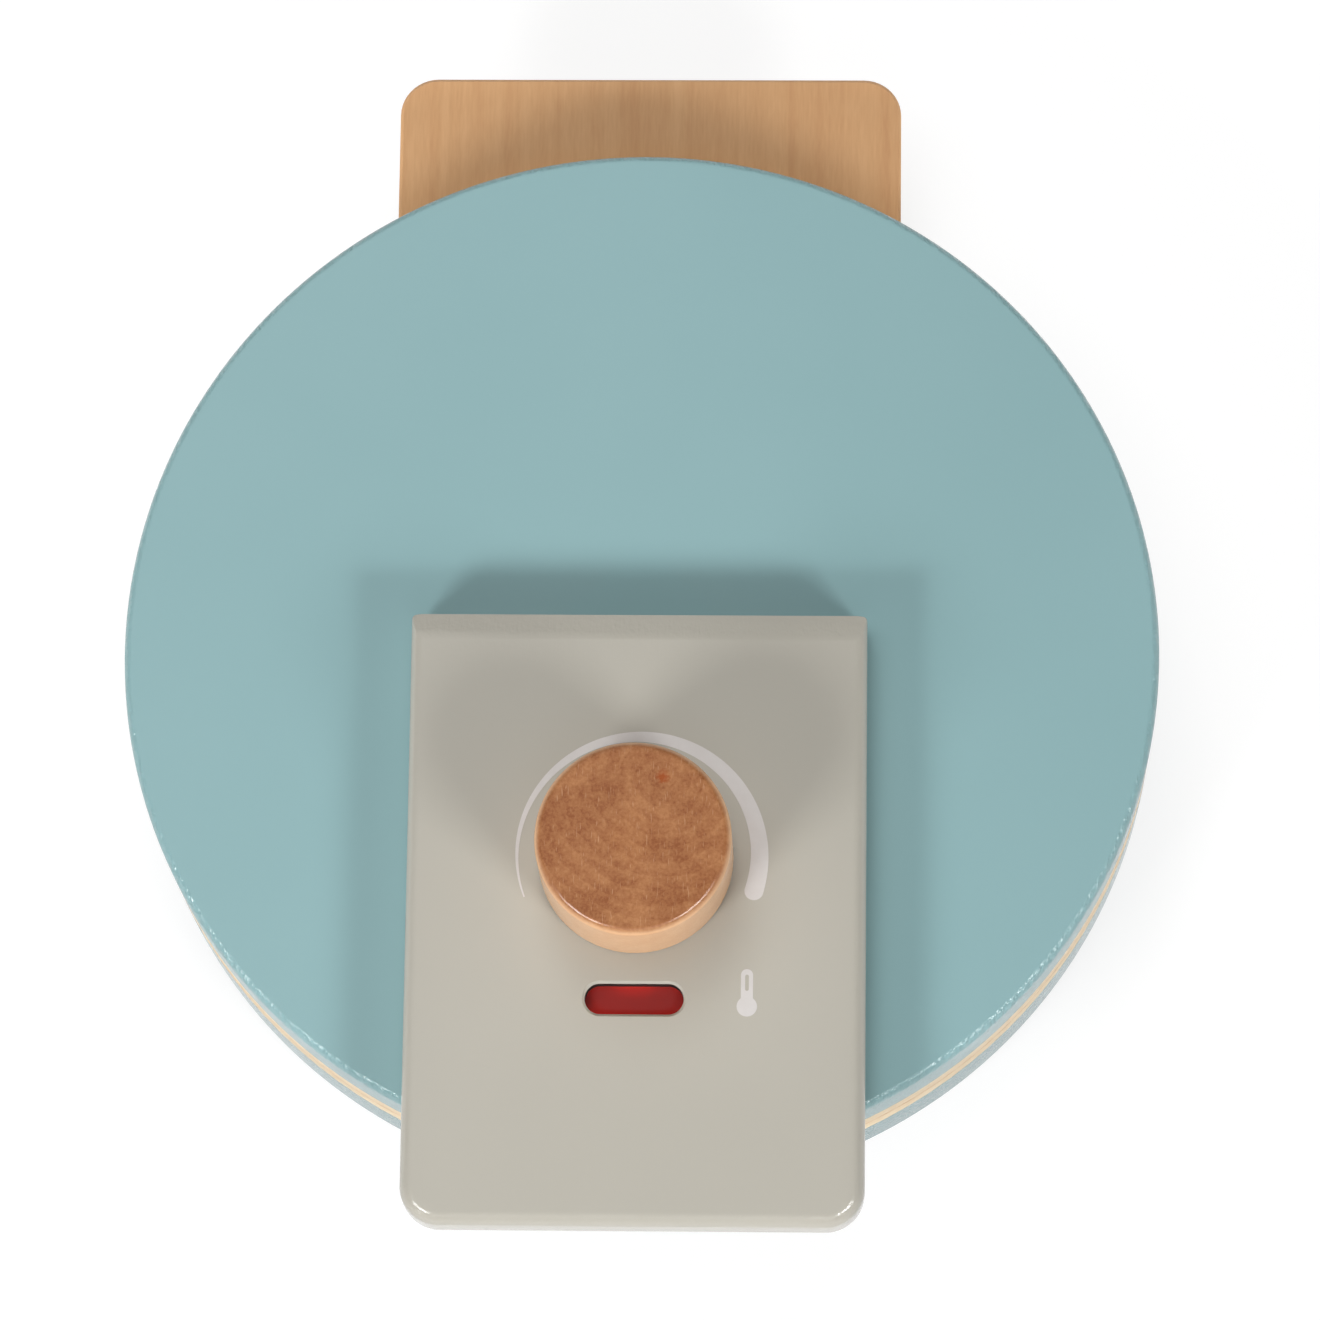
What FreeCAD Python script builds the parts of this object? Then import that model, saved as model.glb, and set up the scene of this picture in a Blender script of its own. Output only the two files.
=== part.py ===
import FreeCAD, Part
import math
import os
import Sketcher
from FreeCAD import Placement, Rotation, Vector

# Wooden toy waffle maker, closed, standing on its four rubber feet.
# Two painted discs with a natural wood waffle plate each, joined by a butt hinge at the rear.
# The lower plate runs out behind the discs as a tab, which stops the opened lid.
# A painted block on the lid is handle and control panel, with a turning knob and a colour wheel.
# +X is right, +Y is rear (towards the hinge), +Z is up, in millimetres.
# The origin is the centre of the footprint, on the surface the feet stand on.

os.makedirs("parts", exist_ok=True)
doc = FreeCAD.newDocument("toy_waffle_maker")

# Driving dimensions
DRIVING = {
    # painted discs
    "disc_diameter": 160.0,
    "base_disc_thickness": 12.0,
    "lid_disc_thickness": 9.0,
    "rim_chamfer": 1.1,
    # natural wood plates with the waffle mould
    "plate_thickness": 4.0,
    "closing_gap": 0.3,
    "tab_width": 80.0,
    "tab_overhang": 17.2,
    "tab_corner_radius": 6.0,
    "tab_edge_chamfer": 0.5,
    "mould_depth": 3.0,
    "heart_count": 5,
    "heart_lobe_radius": 15.0,
    "heart_lobe_offset": 12.5,
    "ridge_width": 2.4,
    "rib_height": 1.0,
    "rib_width": 1.6,
    "rib_pitch": 16.0,
    # rubber feet
    "foot_diameter": 14.0,
    "foot_height": 2.5,
    "foot_circle_radius": 60.0,
    "foot_facets": 24,
    # control block
    "block_width": 70.0,
    "block_length": 94.7,
    "block_height": 8.0,
    "block_overhang": 11.2,
    "block_front_corner_radius": 6.0,
    "block_rear_chamfer": 0.5,
    "block_edge_rounding": 2.0,
    "block_lower_chamfer": 1.2,
    "rear_slope_run": 4.3,
    "rear_slope_drop": 1.4,
    "panel_thickness": 2.5,
    # window for the colour wheel
    "window_length": 15.0,
    "window_width": 4.7,
    "window_from_knob": 21.8,
    # knob and what turns with it
    "knob_from_front": 56.3,
    "knob_diameter": 29.7,
    "knob_height": 14.0,
    "knob_edge_chamfer": 0.5,
    "knob_gap": 0.3,
    "dowel_diameter": 8.0,
    "dowel_in_knob": 8.0,
    "wheel_thickness": 2.0,
    "wheel_margin": 1.9,
    "wheel_clearance": 1.0,
    "felt_thickness": 0.5,
    "felt_diameter": 16.0,
    "washer_diameter": 10.0,
    "washer_thickness": 0.8,
    "wheel_screw_length": 12.0,
    "wheel_screw_head_height": 1.6,
    # block fastening
    "block_screw_inset": 7.0,
    "block_screw_length": 13.0,
    "block_dowel_spacing": 32.0,
    "block_dowel_front_inset": 23.0,
    "block_dowel_diameter": 8.0,
    "block_dowel_flutes": 12,
    "block_dowel_in_lid": 6.0,
    "block_dowel_in_block": 5.0,
    # butt hinge
    "hinge_width": 25.0,
    "hinge_behind_rim": 0.6,
    "leaf_reach": 11.0,
    "leaf_thickness": 1.0,
    "knuckle_diameter": 3.2,
    "knuckle_count": 3,
    "knuckle_gap": 0.2,
    "pin_diameter": 1.5,
    "hinge_screw_pitch": 15.0,
    "hinge_screw_from_pin": 6.6,
    "hinge_screw_length": 10.0,
    "hinge_screw_count": 2,
    # screws
    "small_shank": 2.5,
    "small_head": 4.4,
    "large_shank": 3.5,
    "large_head": 7.0,
    "screw_facets": 12,
    # clearances
    "fit": 0.05,
    "seat_clearance": 0.3,
}

sheet = doc.addObject("Spreadsheet::Sheet", "sizes")
for row, (name, number) in enumerate(DRIVING.items(), start=1):
    sheet.set(f"A{row}", name)
    sheet.set(f"B{row}", str(number))
    sheet.setAlias(f"B{row}", name)
doc.recompute()


class Size:
    """A number together with the sheet formula that gives it."""

    def __init__(self, number, formula):
        self.number = number
        self.formula = formula

    def __add__(self, other):
        other = as_size(other)
        return Size(self.number + other.number, f"({self.formula} + {other.formula})")

    def __sub__(self, other):
        other = as_size(other)
        return Size(self.number - other.number, f"({self.formula} - {other.formula})")

    def __mul__(self, other):
        other = as_size(other)
        return Size(self.number * other.number, f"({self.formula} * {other.formula})")

    def __truediv__(self, other):
        other = as_size(other)
        return Size(self.number / other.number, f"({self.formula} / {other.formula})")

    def __neg__(self):
        return Size(-self.number, f"(-1 * {self.formula})")

    def __radd__(self, other):
        return as_size(other) + self

    def __rsub__(self, other):
        return as_size(other) - self

    def __rmul__(self, other):
        return as_size(other) * self

    def __rtruediv__(self, other):
        return as_size(other) / self


def as_size(value):
    if isinstance(value, Size):
        return value
    return Size(float(value), str(value))


def cell(name):
    return Size(float(getattr(sheet, name)), f"sizes.{name}")


def root(value):
    value = as_size(value)
    return Size(math.sqrt(value.number), f"sqrt({value.formula})")


def sine(angle):
    angle = as_size(angle)
    return Size(math.sin(math.radians(angle.number)), f"sin({angle.formula})")


def cosine(angle):
    angle = as_size(angle)
    return Size(math.cos(math.radians(angle.number)), f"cos({angle.formula})")


def within_wall(edge_size, wall):
    """A rounding or chamfer takes no more than a third of the wall that it is cut from."""
    edge_size, limit = as_size(edge_size), wall / 3
    return Size(min(edge_size.number, limit.number), f"min({edge_size.formula}; {limit.formula})")


# Places shared by several pieces, measured from the discs' common axis
RIM = cell("disc_diameter") / 2
DISC_Y = (cell("block_overhang") - cell("tab_overhang")) / 2
BASE_DISC_Z = cell("foot_height")
BASE_PLATE_Z = BASE_DISC_Z + cell("base_disc_thickness")
PARTING_Z = BASE_PLATE_Z + cell("plate_thickness")
HINGE_Z = PARTING_Z + cell("closing_gap") / 2
LID_PLATE_Z = PARTING_Z + cell("closing_gap")
LID_DISC_Z = LID_PLATE_Z + cell("plate_thickness")
BLOCK_Z = LID_DISC_Z + cell("lid_disc_thickness")
BLOCK_FRONT = -(RIM + cell("block_overhang"))
BLOCK_REAR = BLOCK_FRONT + cell("block_length")
KNOB_Y = BLOCK_FRONT + cell("knob_from_front")
WINDOW_Y = KNOB_Y - cell("window_from_knob")
HINGE_Y = RIM + cell("hinge_behind_rim")
HINGE_SCREW_Y = HINGE_Y - cell("hinge_screw_from_pin")
HALF_GAP = cell("closing_gap") / 2

# The wheel reaches past the window's far corners
WINDOW_EDGE = cell("window_from_knob") + cell("window_width") / 2
WINDOW_CORNER = root(WINDOW_EDGE * WINDOW_EDGE + cell("window_length") * cell("window_length") / 4)
WHEEL_RADIUS = WINDOW_CORNER + cell("wheel_margin")
WHEEL_HOUSING_RADIUS = WHEEL_RADIUS + cell("wheel_clearance")

# Heights inside the block, measured from the block's underside
CEILING = cell("block_height") - cell("panel_thickness")
WHEEL_TOP = CEILING - 2 * cell("fit") - cell("felt_thickness")
WHEEL_BOTTOM = WHEEL_TOP - cell("wheel_thickness")
WASHER_BOTTOM = WHEEL_BOTTOM - cell("washer_thickness")


def bind(thing, path, size):
    thing.setExpression(path, as_size(size).formula)


def place(thing, x=0, y=0, z=0, rotation=None):
    """Put a finished piece at its place in the assembly."""
    x, y, z = as_size(x), as_size(y), as_size(z)
    thing.Placement = Placement(Vector(x.number, y.number, z.number), rotation or Rotation())
    bind(thing, "Placement.Base.x", x)
    bind(thing, "Placement.Base.y", y)
    bind(thing, "Placement.Base.z", z)


TURNED_OVER = Rotation(Vector(0, 1, 0), 180)


def new_body(name):
    body = doc.addObject("PartDesign::Body", name)
    body.Label = name
    return body


def origin_feature(body, role):
    for feature in body.Origin.OriginFeatures:
        if feature.Role == role:
            return feature
    raise ValueError(f"no {role} in {body.Label}")


def new_sketch(body, name, plane="XY_Plane", height=0, turn=0):
    """A sketch at a height above one of the body's origin planes, turned in that plane."""
    height = as_size(height)
    sketch = body.newObject("Sketcher::SketchObject", name)
    sketch.AttachmentSupport = [(origin_feature(body, plane), "")]
    sketch.MapMode = "FlatFace"
    sketch.AttachmentOffset = Placement(Vector(0, 0, height.number), Rotation(Vector(0, 0, 1), turn))
    bind(sketch, "AttachmentOffset.Base.z", height)
    return sketch


def constrain(sketch, size, kind, *where):
    index = sketch.addConstraint(Sketcher.Constraint(kind, *where, as_size(size).number))
    bind(sketch, f"Constraints[{index}]", size)


def pin_point(sketch, geometry, end, x, y):
    """Hold one point of a sketch at x, y from the sketch's origin."""
    constrain(sketch, x, "DistanceX", -1, 1, geometry, end)
    constrain(sketch, y, "DistanceY", -1, 1, geometry, end)


def vector(x, y):
    return Vector(as_size(x).number, as_size(y).number, 0)


def add_circle(sketch, x, y, diameter):
    diameter = as_size(diameter)
    circle = Part.Circle(vector(x, y), Vector(0, 0, 1), diameter.number / 2)
    index = sketch.addGeometry(circle, False)
    pin_point(sketch, index, 3, x, y)
    constrain(sketch, diameter, "Diameter", index)


def add_polygon(sketch, corners):
    """A closed outline of straight lines through the given corners."""
    first = sketch.GeometryCount
    count = len(corners)
    for number, corner in enumerate(corners):
        following = corners[(number + 1) % count]
        sketch.addGeometry(Part.LineSegment(vector(*corner), vector(*following)), False)
    for number, corner in enumerate(corners):
        previous = first + (number - 1) % count
        sketch.addConstraint(Sketcher.Constraint("Coincident", previous, 2, first + number, 1))
        pin_point(sketch, first + number, 1, *corner)


def add_rectangle(sketch, left, right, low, high):
    add_polygon(sketch, [(left, low), (right, low), (right, high), (left, high)])


def add_slot(sketch, y, length, width):
    """A slot with round ends, centred on x = 0."""
    end_radius = width / 2
    centre = length / 2 - end_radius
    first = sketch.GeometryCount
    right = Part.Circle(vector(centre, y), Vector(0, 0, 1), end_radius.number)
    left = Part.Circle(vector(-centre, y), Vector(0, 0, 1), end_radius.number)
    sketch.addGeometry(Part.ArcOfCircle(right, -math.pi / 2, math.pi / 2), False)
    sketch.addGeometry(Part.LineSegment(vector(centre, y + end_radius), vector(-centre, y + end_radius)))
    sketch.addGeometry(Part.ArcOfCircle(left, math.pi / 2, 3 * math.pi / 2), False)
    sketch.addGeometry(Part.LineSegment(vector(-centre, y - end_radius), vector(centre, y - end_radius)))
    pin_point(sketch, first, 3, centre, y)
    pin_point(sketch, first + 2, 3, -centre, y)
    constrain(sketch, end_radius, "Radius", first)
    sketch.addConstraint(Sketcher.Constraint("Tangent", first, 2, first + 1, 1))
    sketch.addConstraint(Sketcher.Constraint("Tangent", first + 1, 2, first + 2, 1))
    sketch.addConstraint(Sketcher.Constraint("Tangent", first + 2, 2, first + 3, 1))
    sketch.addConstraint(Sketcher.Constraint("Tangent", first + 3, 2, first, 1))


def pad(body, sketch, length, name):
    feature = body.newObject("PartDesign::Pad", name)
    feature.Profile = sketch
    feature.Length = as_size(length).number
    bind(feature, "Length", length)
    doc.recompute()
    return feature


def pocket(body, sketch, depth, name, upward=False):
    """Cut down from the sketch, or up from it. The cut has to remove something."""
    before = body.Shape.Volume
    feature = body.newObject("PartDesign::Pocket", name)
    feature.Profile = sketch
    feature.Length = as_size(depth).number
    feature.Reversed = upward
    bind(feature, "Length", depth)
    doc.recompute()
    if body.Shape.Volume >= before:
        raise ValueError(f"{name} cuts nothing")
    return feature


def revolve(body, sketch, name):
    feature = body.newObject("PartDesign::Revolution", name)
    feature.Profile = sketch
    feature.ReferenceAxis = (sketch, ["V_Axis"])
    feature.Angle = 360
    doc.recompute()
    return feature


def dress_edges(body, kind, path, size, name, test):
    """A fillet or chamfer on every edge of the body that passes the test."""
    base = body.Tip
    names = [f"Edge{number}" for number, edge in enumerate(base.Shape.Edges, start=1) if test(edge)]
    if not names:
        raise ValueError(f"{name} finds no edge")
    feature = body.newObject(kind, name)
    feature.Base = (base, names)
    setattr(feature, path, as_size(size).number)
    bind(feature, path, size)
    doc.recompute()
    if "Invalid" in feature.State:
        raise ValueError(f"{name} can't be cut")


def round_edges(body, radius, name, test):
    dress_edges(body, "PartDesign::Fillet", "Radius", radius, name, test)


def chamfer_edges(body, width, name, test):
    dress_edges(body, "PartDesign::Chamfer", "Size", width, name, test)


SAME_PLACE = 1e-4


def near(first, second):
    return abs(first - as_size(second).number) < SAME_PLACE


def at_height(edge, height):
    return near(edge.BoundBox.ZMin, height) and near(edge.BoundBox.ZMax, height)


def repeat_around(body, features, count, name):
    pattern = body.newObject("PartDesign::PolarPattern", name)
    pattern.Originals = features
    pattern.Axis = (origin_feature(body, "Z_Axis"), [""])
    pattern.Angle = 360
    pattern.Occurrences = int(count.number)
    bind(pattern, "Occurrences", count)
    body.Tip = pattern
    doc.recompute()
    return pattern


def hinge_screw_places():
    """Across the hinge leaf, in one row."""
    count = int(cell("hinge_screw_count").number)
    middle = (count - 1) / 2
    return [(cell("hinge_screw_pitch") * (number - middle), HINGE_SCREW_Y) for number in range(count)]


def foot_places():
    """Four feet on one circle, on the diagonals."""
    diagonal = 45
    reach = cell("foot_circle_radius") * sine(diagonal)
    return [(reach, reach), (-reach, reach), (-reach, -reach), (reach, -reach)]


def block_screw_places():
    """Two screws near the block's rear corners, clear of the wheel's housing."""
    side = cell("block_width") / 2 - cell("block_screw_inset")
    rear = BLOCK_REAR - cell("block_screw_inset")
    return [(side, rear), (-side, rear)]


def block_dowel_places():
    """Two dowels locate the block on the lid near its front."""
    side = cell("block_dowel_spacing") / 2
    front = BLOCK_FRONT + cell("block_dowel_front_inset")
    return [(side, front), (-side, front)]


def drill(body, places, diameter, height, depth, name, upward=False):
    """Plain round holes, cut down or up from the given height."""
    sketch = new_sketch(body, f"{name}_places", height=height)
    for x, y in places:
        add_circle(sketch, x, y, diameter)
    pocket(body, sketch, depth, name, upward)


COUNTERSINK_ANGLE = 90


def drill_countersunk(body, places, size_name, height, depth, name, upward=False):
    """Holes for countersunk screws whose flat heads lie at the given height."""
    shank = cell(f"{size_name}_shank") + 2 * cell("fit")
    head = cell(f"{size_name}_head") + 2 * cell("fit")
    sketch = new_sketch(body, f"{name}_places", height=height)
    for x, y in places:
        add_circle(sketch, x, y, shank)
    doc.recompute()
    before = body.Shape.Volume
    feature = body.newObject("PartDesign::Hole", name)
    feature.Profile = sketch
    feature.Reversed = upward
    doc.recompute()
    feature.ThreadType = "None"
    feature.DepthType = "Dimension"
    feature.DrillPoint = "Flat"
    feature.HoleCutType = "Countersink"
    feature.HoleCutCustomValues = True
    feature.HoleCutCountersinkAngle = COUNTERSINK_ANGLE
    for path, size in (("Diameter", shank), ("HoleCutDiameter", head), ("Depth", depth)):
        setattr(feature, path, as_size(size).number)
        bind(feature, path, size)
    doc.recompute()
    if body.Shape.Volume >= before:
        raise ValueError(f"{name} cuts nothing")


def turned_disc(name, radius, thickness, chamfer):
    """A disc turned about Z, with its upper edge broken."""
    body = new_body(name)
    chamfer = within_wall(chamfer, thickness)
    profile = new_sketch(body, f"{name}_profile", plane="XZ_Plane")
    add_polygon(profile, [
        (0, 0), (radius, 0), (radius, thickness - chamfer),
        (radius - chamfer, thickness), (0, thickness)])
    revolve(body, profile, f"{name}_blank")
    return body


def make_base_disc():
    """Made with its broken edge up, then turned over onto its feet."""
    thickness = cell("base_disc_thickness")
    body = turned_disc("base_disc", RIM, thickness, cell("rim_chamfer"))
    hole_depth = cell("hinge_screw_length") - cell("plate_thickness") + cell("seat_clearance")
    shank = cell("small_shank") + 2 * cell("fit")
    drill(body, hinge_screw_places(), shank, 0, hole_depth, "hinge_screw_holes", upward=True)
    place(body, 0, DISC_Y, BASE_DISC_Z + thickness, TURNED_OVER)
    return body


HALF_SECTOR = 180 / cell("heart_count")
LOBE_ALONG = (
    cell("heart_lobe_radius")
    + cell("ridge_width") / 2
    + cell("heart_lobe_offset") * cosine(HALF_SECTOR)
) / sine(HALF_SECTOR)
RIDGE_END = LOBE_ALONG * cosine(HALF_SECTOR) + cell("heart_lobe_offset") * sine(HALF_SECTOR)
LOBE_CENTRE_RADIUS = root(LOBE_ALONG * LOBE_ALONG + cell("heart_lobe_offset") * cell("heart_lobe_offset"))
MOULD_RADIUS = LOBE_CENTRE_RADIUS + cell("heart_lobe_radius")
TOWARDS_HINGE = 90


def add_heart(sketch):
    """A heart with its point at the middle of the plate: two straight sides, two round lobes."""
    radius = cell("heart_lobe_radius")
    offset = cell("heart_lobe_offset")
    point = cell("ridge_width") / 2 / sine(HALF_SECTOR)
    lean = math.radians(HALF_SECTOR.number)
    notch_angle = math.asin(offset.number / radius.number)
    upper = Part.Circle(vector(LOBE_ALONG, offset), Vector(0, 0, 1), radius.number)
    lower = Part.Circle(vector(LOBE_ALONG, -offset), Vector(0, 0, 1), radius.number)
    upper_touch = upper.value(math.pi / 2 + lean)
    lower_touch = lower.value(-math.pi / 2 - lean)
    tip = vector(point, 0)
    sketch.addGeometry(Part.LineSegment(lower_touch, tip), False)
    sketch.addGeometry(Part.LineSegment(tip, upper_touch), False)
    sketch.addGeometry(Part.ArcOfCircle(upper, -notch_angle, math.pi / 2 + lean), False)
    sketch.addGeometry(Part.ArcOfCircle(lower, -math.pi / 2 - lean, notch_angle), False)
    sketch.addConstraint(Sketcher.Constraint("Coincident", 0, 2, 1, 1))
    sketch.addConstraint(Sketcher.Constraint("Coincident", 2, 1, 3, 2))
    sketch.addConstraint(Sketcher.Constraint("Tangent", 1, 2, 2, 2))
    sketch.addConstraint(Sketcher.Constraint("Tangent", 3, 1, 0, 1))
    pin_point(sketch, 1, 1, point, 0)
    pin_point(sketch, 2, 3, LOBE_ALONG, offset)
    pin_point(sketch, 3, 3, LOBE_ALONG, -offset)
    constrain(sketch, radius, "Radius", 2)
    constrain(sketch, radius, "Radius", 3)


def add_heart_ribs(sketch, side):
    """Ribs parallel to one straight side of a heart, from the other side out into the rim."""
    count = int(MOULD_RADIUS.number / cell("rib_pitch").number)
    reach = MOULD_RADIUS + cell("rib_width")
    across = cell("rib_width") / 2
    along_x, along_y = cosine(HALF_SECTOR), sine(HALF_SECTOR) * side
    turn = HALF_SECTOR * 2
    for number in range(1, count):
        distance = cell("rib_pitch") * number
        start = distance / sine(turn)
        end = root(reach * reach - distance * distance) - distance * cosine(turn) / sine(turn)
        if end.number <= across.number:
            break
        start_x, start_y = start * along_x, -start * along_y
        end_x, end_y = start_x + end * along_x, start_y + end * along_y
        step_x, step_y = across * along_y, across * along_x
        add_polygon(sketch, [
            (start_x + step_x, start_y - step_y),
            (end_x + step_x, end_y - step_y),
            (end_x - step_x, end_y + step_y),
            (start_x - step_x, start_y + step_y),
        ])


def cut_waffle_mould(body):
    """Five hearts round the middle, low ridges between them and a lattice of ribs inside."""
    thickness = cell("plate_thickness")
    floor = thickness - cell("mould_depth")
    heart = new_sketch(body, "heart_outline", height=thickness, turn=TOWARDS_HINGE)
    add_heart(heart)
    heart_cut = pocket(body, heart, cell("mould_depth"), "heart")
    repeat_around(body, [heart_cut], cell("heart_count"), "hearts")
    middle = new_sketch(body, "ridge_outline", height=thickness)
    add_circle(middle, 0, 0, RIDGE_END * 2)
    pocket(body, middle, cell("mould_depth") - cell("rib_height"), "lowered_ridges")
    ribs = []
    for side, name in ((1, "left_ribs"), (-1, "right_ribs")):
        lines = new_sketch(body, f"{name}_outline", height=floor, turn=TOWARDS_HINGE)
        add_heart_ribs(lines, side)
        ribs.append(pad(body, lines, cell("rib_height"), name))
    repeat_around(body, ribs, cell("heart_count"), "lattice")


def cut_hinge_seat(body):
    """Let in the hinge leaf, and clear the knuckles with a deeper trough."""
    thickness = cell("plate_thickness")
    clearance = cell("seat_clearance")
    half_width = cell("hinge_width") / 2 + clearance
    knuckle_reach = cell("knuckle_diameter") / 2 + clearance
    leaf = new_sketch(body, "leaf_seat_outline", height=thickness)
    leaf_front = HINGE_Y - cell("leaf_reach") - clearance
    add_rectangle(leaf, -half_width, half_width, leaf_front, HINGE_Y)
    pocket(body, leaf, cell("leaf_thickness") + cell("fit"), "leaf_seat")
    trough = new_sketch(body, "knuckle_trough_outline", height=thickness)
    add_rectangle(trough, -half_width, half_width, HINGE_Y - knuckle_reach, HINGE_Y + knuckle_reach)
    pocket(body, trough, knuckle_reach - HALF_GAP, "knuckle_trough")


def waffle_plate(name):
    """A round plate of natural wood, to be cut with its mould side up."""
    body = new_body(name)
    thickness = cell("plate_thickness")
    outline = new_sketch(body, f"{name}_outline")
    add_circle(outline, 0, 0, cell("disc_diameter"))
    pad(body, outline, thickness, f"{name}_blank")
    return body


def add_rear_tab(body):
    """The tab carries the hinge's knuckles and stops the lid when it stands open."""
    thickness = cell("plate_thickness")
    half_width = cell("tab_width") / 2
    rear = RIM + cell("tab_overhang")
    outline = new_sketch(body, "tab_outline")
    add_rectangle(outline, -half_width, half_width, 0, rear)
    pad(body, outline, thickness, "tab")

    def is_corner(edge):
        box = edge.BoundBox
        return near(abs(box.XMin), half_width) and near(box.XLength, 0) and near(box.YMin, rear)

    round_edges(body, cell("tab_corner_radius"), "tab_corners", is_corner)

    def is_tab_edge(edge):
        flat = at_height(edge, thickness) or at_height(edge, 0)
        return flat and edge.BoundBox.YMax > (RIM + SAME_PLACE).number

    chamfer_edges(body, within_wall(cell("tab_edge_chamfer"), thickness), "tab_edges", is_tab_edge)


def make_base_plate():
    body = waffle_plate("base_plate")
    add_rear_tab(body)
    cut_hinge_seat(body)
    cut_waffle_mould(body)
    thickness = cell("plate_thickness")
    drill_countersunk(body, hinge_screw_places(), "small", thickness, thickness, "hinge_screw_holes")
    place(body, 0, DISC_Y, BASE_PLATE_Z)
    return body


def make_lid_plate():
    """Made mould side up like the lower plate, then turned over onto it."""
    body = waffle_plate("lid_plate")
    cut_hinge_seat(body)
    cut_waffle_mould(body)
    thickness = cell("plate_thickness")
    drill_countersunk(body, hinge_screw_places(), "small", thickness, thickness, "hinge_screw_holes")
    place(body, 0, DISC_Y, LID_PLATE_Z + thickness, TURNED_OVER)
    return body


def make_lid_disc():
    thickness = cell("lid_disc_thickness")
    body = turned_disc("lid_disc", RIM, thickness, cell("rim_chamfer"))
    hinge_hole_depth = cell("hinge_screw_length") - cell("plate_thickness") + cell("seat_clearance")
    shank = cell("small_shank") + 2 * cell("fit")
    drill(body, hinge_screw_places(), shank, 0, hinge_hole_depth, "hinge_screw_holes", upward=True)
    drill_countersunk(body, block_screw_places(), "large", 0, thickness, "block_screw_holes", upward=True)
    dowel = cell("block_dowel_diameter") + 2 * cell("fit")
    dowel_depth = cell("block_dowel_in_lid") + cell("fit")
    drill(body, block_dowel_places(), dowel, thickness, dowel_depth, "block_dowel_holes")
    place(body, 0, DISC_Y, LID_DISC_Z)
    return body


def make_control_block():
    """The handle and control panel, hollow underneath for the colour wheel."""
    body = new_body("control_block")
    height = cell("block_height")
    half_width = cell("block_width") / 2
    outline = new_sketch(body, "block_outline")
    add_rectangle(outline, -half_width, half_width, BLOCK_FRONT, BLOCK_REAR)
    pad(body, outline, height, "block_blank")

    def upright_at(edge, y):
        box = edge.BoundBox
        return near(box.XLength, 0) and near(box.YLength, 0) and near(box.YMin, y)

    front_radius = cell("block_front_corner_radius")
    round_edges(body, front_radius, "front_corners", lambda edge: upright_at(edge, BLOCK_FRONT))

    def outline_at(edge, level):
        return at_height(edge, level) and not near(edge.BoundBox.YMin, BLOCK_REAR)

    rounding = within_wall(cell("block_edge_rounding"), height)
    round_edges(body, rounding, "top_edges", lambda edge: outline_at(edge, height))
    lower_chamfer = within_wall(cell("block_lower_chamfer"), height)
    chamfer_edges(body, lower_chamfer, "lower_edges", lambda edge: outline_at(edge, 0))

    slope = new_sketch(body, "rear_slope_outline", plane="YZ_Plane", height=half_width)
    run = cell("rear_slope_run")
    drop = cell("rear_slope_drop")
    add_polygon(slope, [
        (BLOCK_REAR - run, height),
        (BLOCK_REAR + run, height - drop * 2),
        (BLOCK_REAR + run, height),
    ])
    pocket(body, slope, cell("block_width"), "rear_slope")

    def is_rear_edge(edge):
        box = edge.BoundBox
        return near(box.YMin, BLOCK_REAR) and near(box.YMax, BLOCK_REAR) and not at_height(edge, 0)

    chamfer_edges(body, cell("block_rear_chamfer"), "rear_edges", is_rear_edge)

    housing = new_sketch(body, "wheel_housing_outline")
    add_circle(housing, 0, KNOB_Y, WHEEL_HOUSING_RADIUS * 2)
    pocket(body, housing, CEILING, "wheel_housing", upward=True)
    bore = cell("dowel_diameter") + 2 * cell("fit")
    drill(body, [(0, KNOB_Y)], bore, height, cell("panel_thickness"), "knob_bore")
    window = new_sketch(body, "window_outline", height=height)
    add_slot(window, WINDOW_Y, cell("window_length"), cell("window_width"))
    pocket(body, window, cell("panel_thickness"), "window")
    large_shank = cell("large_shank") + 2 * cell("fit")
    hole_depth = cell("block_screw_length") - cell("lid_disc_thickness") + cell("seat_clearance")
    drill(body, block_screw_places(), large_shank, 0, hole_depth, "block_screw_holes", upward=True)
    dowel = cell("block_dowel_diameter") + 2 * cell("fit")
    dowel_depth = cell("block_dowel_in_block") + cell("fit")
    drill(body, block_dowel_places(), dowel, 0, dowel_depth, "block_dowel_holes", upward=True)
    place(body, 0, DISC_Y, BLOCK_Z)
    return body


def make_knob():
    """Drilled from below for its dowel."""
    body = turned_disc("knob", cell("knob_diameter") / 2, cell("knob_height"), cell("knob_edge_chamfer"))
    bore = cell("dowel_diameter") + 2 * cell("fit")
    drill(body, [(0, 0)], bore, 0, cell("dowel_in_knob") + cell("fit"), "dowel_hole", upward=True)
    place(body, 0, DISC_Y + KNOB_Y, BLOCK_Z + cell("block_height") + cell("knob_gap"))
    return body


def make_knob_dowel():
    """From the knob through the panel; the colour wheel is clamped against its lower end."""
    body = new_body("knob_dowel")
    top = cell("block_height") + cell("knob_gap") + cell("dowel_in_knob")
    section = new_sketch(body, "dowel_outline", height=WHEEL_TOP)
    add_circle(section, 0, 0, cell("dowel_diameter"))
    pad(body, section, top - WHEEL_TOP, "dowel")
    pilot = cell("small_shank") + 2 * cell("fit")
    clamped = cell("washer_thickness") + cell("wheel_thickness")
    pilot_depth = cell("wheel_screw_length") - clamped + cell("seat_clearance")
    drill(body, [(0, 0)], pilot, WHEEL_TOP, pilot_depth, "screw_pilot", upward=True)
    place(body, 0, DISC_Y + KNOB_Y, BLOCK_Z)
    return body


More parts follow.
